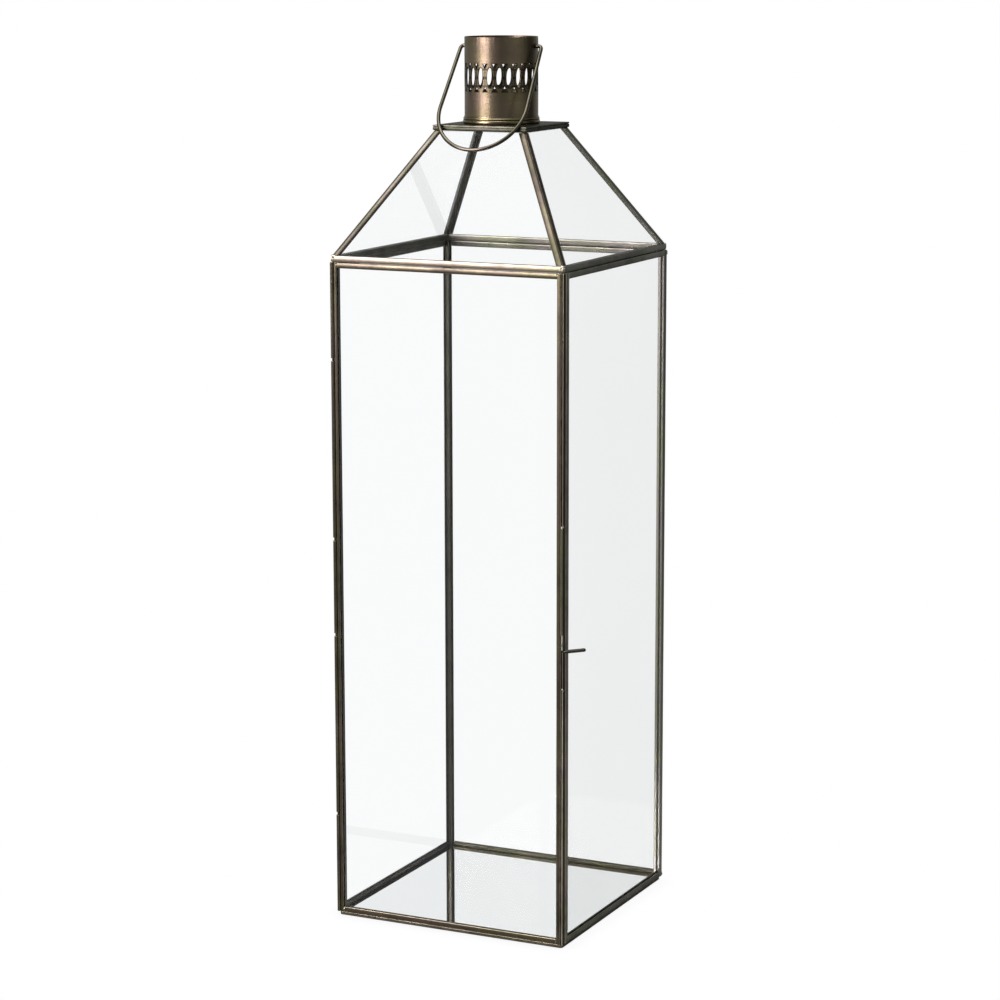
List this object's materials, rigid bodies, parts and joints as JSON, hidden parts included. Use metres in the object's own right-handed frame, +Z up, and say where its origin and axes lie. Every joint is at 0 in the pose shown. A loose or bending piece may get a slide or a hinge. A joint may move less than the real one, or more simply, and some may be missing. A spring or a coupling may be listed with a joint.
{
  "type": "glass lantern",
  "caption": "Tall square glass lantern with a brass frame, a hinged glass door with a turning latch, a mirror floor, a hipped glass roof, a pierced chimney and a swinging wire bail.",
  "frame": {"origin": "centre of the underside of the base tray", "axes": "+Z up; -Y is the way the glass door faces; +X is the latch side, to the right of someone facing the door"},
  "size_m": [0.2168, 0.2032, 0.6972],
  "materials": {
    "antique_brass": "satin, darkened antique patina with worn brighter edges",
    "dark_antique_brass": "satin, dark bronze patina",
    "brushed_antique_brass": "brushed around the tube, antique patina",
    "clear_glass": "clear polished sheet glass",
    "mirror": "silvered glass, polished"
  },
  "bodies": {
    "root": {"base_tray": "dark_antique_brass", "cap_plate": "dark_antique_brass", "cap_rail_back": "antique_brass", "cap_rail_front": "antique_brass", "cap_rail_left": "antique_brass", "cap_rail_right": "antique_brass", "chimney": "brushed_antique_brass", "chimney_foot_ring": "brushed_antique_brass", "hinge_rod": "antique_brass", "hinge_tube_bottom": "dark_antique_brass", "hinge_tube_middle": "dark_antique_brass", "hinge_tube_top": "dark_antique_brass", "hip_back_left": "antique_brass", "hip_back_right": "antique_brass", "hip_front_left": "antique_brass", "hip_front_right": "antique_brass", "jamb_strip_lower": "antique_brass", "jamb_strip_upper": "antique_brass", "latch_tube": "dark_antique_brass", "mirror_floor": "mirror", "pane_back": "clear_glass", "pane_left": "clear_glass", "pane_right": "clear_glass", "post_back_left": "antique_brass", "post_back_right": "antique_brass", "post_front_left": "antique_brass", "post_front_right": "antique_brass", "rail_bottom_back": "antique_brass", "rail_bottom_left": "antique_brass", "rail_bottom_right": "antique_brass", "rail_top_back": "antique_brass", "rail_top_left": "antique_brass", "rail_top_right": "antique_brass", "roof_pane_back": "clear_glass", "roof_pane_front": "clear_glass", "roof_pane_left": "clear_glass", "roof_pane_right": "clear_glass", "roof_rail_back": "antique_brass", "roof_rail_front": "antique_brass", "roof_rail_left": "antique_brass", "roof_rail_right": "antique_brass"},
    "door": {"door_glass": "clear_glass", "door_knuckle_lower": "dark_antique_brass", "door_knuckle_upper": "dark_antique_brass", "door_rail_bottom": "antique_brass", "door_rail_top": "antique_brass", "door_stile_hinge": "antique_brass", "door_stile_latch": "antique_brass"},
    "latch": {"latch_lever": "dark_antique_brass"},
    "handle": {"bail_handle": "dark_antique_brass"}
  },
  "joints": [
    {"name": "door_hinge", "type": "hinge", "parent": "root", "child": "door", "pos_m": [-0.0984, -0.0984, 0.2645], "axis": [0, 0, -1], "range_deg": [0, 170]},
    {"name": "latch_turn", "type": "hinge", "parent": "root", "child": "latch", "pos_m": [0.0996, -0.10175, 0.292], "axis": [0, 0, -1], "range_deg": [0, 200]},
    {"name": "handle_swing", "type": "hinge", "parent": "root", "child": "handle", "pos_m": [0, 0, 0.69], "axis": [-1, 0, 0], "range_deg": [0, 290.2]}
  ]
}
